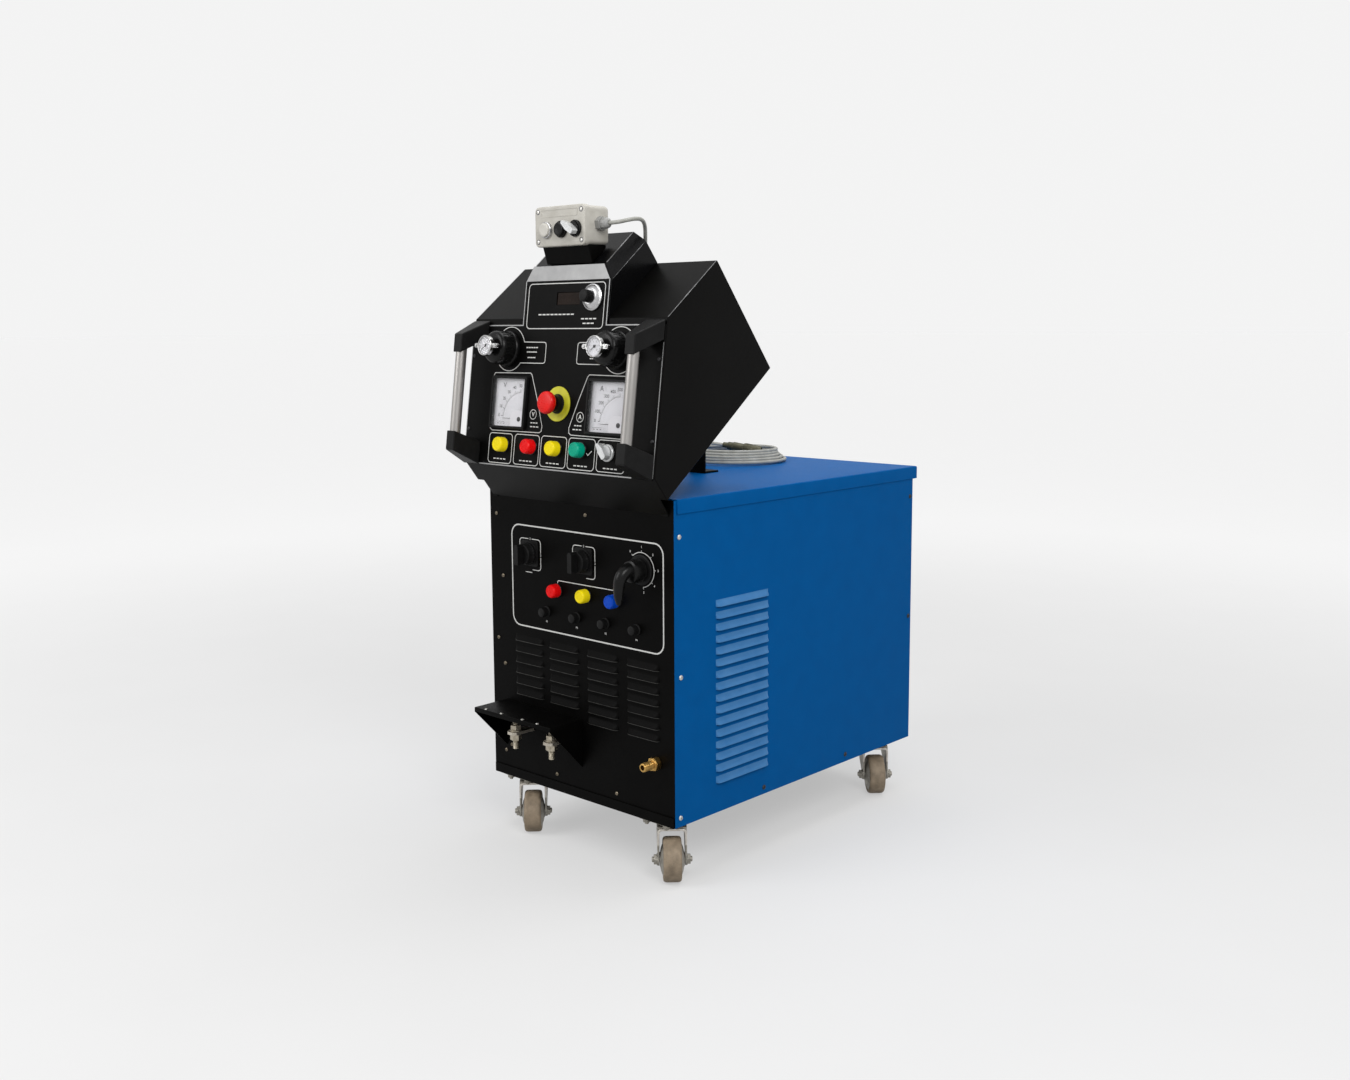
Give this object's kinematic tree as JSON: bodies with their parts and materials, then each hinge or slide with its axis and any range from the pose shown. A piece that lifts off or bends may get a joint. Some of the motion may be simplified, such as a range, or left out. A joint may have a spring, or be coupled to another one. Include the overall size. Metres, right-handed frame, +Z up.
{
  "type": "mobile welding power source",
  "caption": "Sheet steel arc power source on swivel castors, with a tilted control console, handles, meters, air regulators and a corded pendant.",
  "frame": {"origin": "centre of the bounding box without its cord, at floor level under the wheels", "axes": "+Z up, +X to the right seen from the front, front faces -Y"},
  "size_m": [0.4946, 0.861, 1.1854],
  "materials": {
    "cabinet_blue": "powder coat",
    "console_black": "fine texture powder coat",
    "zinc": "zinc plated",
    "caster_steel": "galvanised",
    "caster_tread": "moulded tread",
    "black_plastic": "moulded",
    "red_plastic": "moulded",
    "red_lens": "lens",
    "yellow_lens": "lens",
    "green_lens": "lens",
    "blue_lens": "lens",
    "yellow_plate": "printed ring",
    "copper_bar": "tinned",
    "brass": "machined",
    "core_steel": "varnished laminations",
    "sink_aluminium": "extruded",
    "handle_aluminium": "satin tube",
    "plate_black": "screen printed",
    "meter_plastic": "moulded",
    "pointer_black": "matt",
    "clear_window": "clear",
    "chrome": "plated",
    "selector_silver": "metallised",
    "pendant_grey": "moulded",
    "cord_grey": "sheath",
    "connector_olive": "olive drab plating",
    "white_plastic": "moulded"
  },
  "bodies": {
    "root": {"base_frame": "console_black", "front_panel": "console_black", "right_side_panel": "cabinet_blue", "left_side_panel": "cabinet_blue", "top_cover": "cabinet_blue", "rear_panel": "cabinet_blue", "fasteners": "zinc", "caster_plates": "caster_steel", "switch_plates": "black_plastic", "fuse_holders": "black_plastic", "terminal_hood": "console_black", "output_busbars": "copper_bar", "air_fitting": "brass", "main_transformer": "core_steel", "rectifier_stack": "sink_aluminium", "fan_motor": "core_steel", "console_shell": "console_black", "console_front_panel": "plate_black", "display_housing": "console_black", "handle_brackets": "black_plastic", "handle_tubes": "handle_aluminium", "console_brackets": "console_black", "meter_cases": "meter_plastic", "instrument_windows": "clear_window", "air_regulators": "chrome", "estop_collar": "yellow_plate", "pendant_lid": "pendant_grey", "pendant_base": "pendant_grey", "pendant_gland": "cord_grey", "pendant_cord": "cord_grey", "cord_coil": "cord_grey", "cord_connector": "connector_olive", "red_lamps": "red_lens", "yellow_lamps": "yellow_lens", "green_lamp": "green_lens", "blue_lamp": "blue_lens"},
    "front_left_caster": {"front_left_caster_fork": "caster_steel"},
    "front_left_wheel": {"front_left_caster_wheel": "caster_tread"},
    "front_right_caster": {"front_right_caster_fork": "caster_steel"},
    "front_right_wheel": {"front_right_caster_wheel": "caster_tread"},
    "rear_left_caster": {"rear_left_caster_fork": "caster_steel"},
    "rear_left_wheel": {"rear_left_caster_wheel": "caster_tread"},
    "rear_right_caster": {"rear_right_caster_fork": "caster_steel"},
    "rear_right_wheel": {"rear_right_caster_wheel": "caster_tread"},
    "fan": {"fan_blades": "black_plastic"},
    "range_switch": {"range_switch_knob": "black_plastic"},
    "fine_switch": {"fine_switch_knob": "black_plastic"},
    "main_switch": {"main_switch_handle": "black_plastic"},
    "emergency_stop": {"estop_button": "red_plastic"},
    "mode_selector": {"selector_knob": "selector_silver"},
    "feed_dial": {"dial_knob": "chrome"},
    "left_regulator": {"left_regulator_knob": "black_plastic"},
    "left_gauge": {"left_gauge_pointer": "pointer_black"},
    "right_regulator": {"right_regulator_knob": "black_plastic"},
    "right_gauge": {"right_gauge_pointer": "pointer_black"},
    "voltmeter": {"voltmeter_pointer": "pointer_black"},
    "ammeter": {"ammeter_pointer": "pointer_black"},
    "pendant_white_key": {"pendant_white_button": "white_plastic"},
    "pendant_black_key": {"pendant_black_button": "black_plastic"},
    "pendant_switch": {"pendant_selector": "black_plastic"}
  },
  "joints": [
    {"name": "front_left_swivel", "type": "hinge", "parent": "root", "child": "front_left_caster", "pos_m": [-0.184, -0.27047, 0.1], "axis": [0, 0, 1], "continuous": true},
    {"name": "front_left_wheel_spin", "type": "hinge", "parent": "front_left_caster", "child": "front_left_wheel", "pos_m": [-0.15925, -0.29522, 0.04], "axis": [0.7071, 0.7071, 0], "continuous": true},
    {"name": "front_right_swivel", "type": "hinge", "parent": "root", "child": "front_right_caster", "pos_m": [0.184, -0.27047, 0.1], "axis": [0, 0, 1], "continuous": true},
    {"name": "front_right_wheel_spin", "type": "hinge", "parent": "front_right_caster", "child": "front_right_wheel", "pos_m": [0.20875, -0.29522, 0.04], "axis": [0.7071, 0.7071, 0], "continuous": true},
    {"name": "rear_left_swivel", "type": "hinge", "parent": "root", "child": "rear_left_caster", "pos_m": [-0.184, 0.35753, 0.1], "axis": [0, 0, 1], "continuous": true},
    {"name": "rear_left_wheel_spin", "type": "hinge", "parent": "rear_left_caster", "child": "rear_left_wheel", "pos_m": [-0.15925, 0.33278, 0.04], "axis": [0.7071, 0.7071, 0], "continuous": true},
    {"name": "rear_right_swivel", "type": "hinge", "parent": "root", "child": "rear_right_caster", "pos_m": [0.184, 0.35753, 0.1], "axis": [0, 0, 1], "continuous": true},
    {"name": "rear_right_wheel_spin", "type": "hinge", "parent": "rear_right_caster", "child": "rear_right_wheel", "pos_m": [0.20875, 0.33278, 0.04], "axis": [0.7071, 0.7071, 0], "continuous": true},
    {"name": "fan_spin", "type": "hinge", "parent": "root", "child": "fan", "pos_m": [0, 0.38053, 0.43], "axis": [0, 1, 0], "continuous": true},
    {"name": "range_switch_turn", "type": "hinge", "parent": "root", "child": "range_switch", "pos_m": [-0.1265, -0.32047, 0.5555], "axis": [0, -1, 0], "range_deg": [-60, 60]},
    {"name": "fine_switch_turn", "type": "hinge", "parent": "root", "child": "fine_switch", "pos_m": [0.0185, -0.32047, 0.5567], "axis": [0, -1, 0], "range_deg": [0, 210]},
    {"name": "main_switch_turn", "type": "hinge", "parent": "root", "child": "main_switch", "pos_m": [0.163, -0.32047, 0.5576], "axis": [0, -1, 0], "range_deg": [0, 270]},
    {"name": "emergency_stop_press", "type": "slide", "parent": "root", "child": "emergency_stop", "axis": [0, 0.9914, -0.1305], "range_m": [0, 0.006]},
    {"name": "mode_selector_turn", "type": "hinge", "parent": "root", "child": "mode_selector", "pos_m": [0.137, -0.37266, 0.76272], "axis": [0, -0.9914, 0.1305], "range_deg": [-80, 0]},
    {"name": "feed_dial_turn", "type": "hinge", "parent": "root", "child": "feed_dial", "pos_m": [0.07, -0.33794, 1.02644], "axis": [0, -0.9914, 0.1305], "range_deg": [-3600, 0]},
    {"name": "left_regulator_turn", "type": "hinge", "parent": "root", "child": "left_regulator", "pos_m": [-0.141, -0.34982, 0.93622], "axis": [0, -0.9914, 0.1305], "range_deg": [-1440, 0]},
    {"name": "left_gauge_sweep", "type": "hinge", "parent": "root", "child": "left_gauge", "pos_m": [-0.141, -0.40435, 0.9434], "axis": [0, 0.9914, -0.1305], "range_deg": [0, 250], "stiffness_Nm_per_rad": 0.0002, "springref_deg": -17.19},
    {"name": "right_regulator_turn", "type": "hinge", "parent": "root", "child": "right_regulator", "pos_m": [0.141, -0.34982, 0.93622], "axis": [0, -0.9914, 0.1305], "range_deg": [-1440, 0]},
    {"name": "right_gauge_sweep", "type": "hinge", "parent": "root", "child": "right_gauge", "pos_m": [0.141, -0.40435, 0.9434], "axis": [0, 0.9914, -0.1305], "range_deg": [0, 250], "stiffness_Nm_per_rad": 0.0002, "springref_deg": -17.19},
    {"name": "voltmeter_sweep", "type": "hinge", "parent": "root", "child": "voltmeter", "pos_m": [-0.098, -0.36633, 0.8108], "axis": [0, 0.9914, -0.1305], "range_deg": [0, 90], "stiffness_Nm_per_rad": 0.0004, "springref_deg": -17.19},
    {"name": "ammeter_sweep", "type": "hinge", "parent": "root", "child": "ammeter", "pos_m": [0.156, -0.36633, 0.8108], "axis": [0, 0.9914, -0.1305], "range_deg": [0, 90], "stiffness_Nm_per_rad": 0.0004, "springref_deg": -17.19},
    {"name": "pendant_white_press", "type": "slide", "parent": "root", "child": "pendant_white_key", "axis": [0, 1, 0], "range_m": [0, 0.003], "stiffness_N_per_m": 300, "springref_m": -0.002},
    {"name": "pendant_black_press", "type": "slide", "parent": "root", "child": "pendant_black_key", "axis": [0, 1, 0], "range_m": [0, 0.003], "stiffness_N_per_m": 300, "springref_m": -0.002},
    {"name": "pendant_switch_turn", "type": "hinge", "parent": "root", "child": "pendant_switch", "pos_m": [0.041, -0.35047, 1.14444], "axis": [0, -1, 0], "range_deg": [-110, 0]}
  ]
}
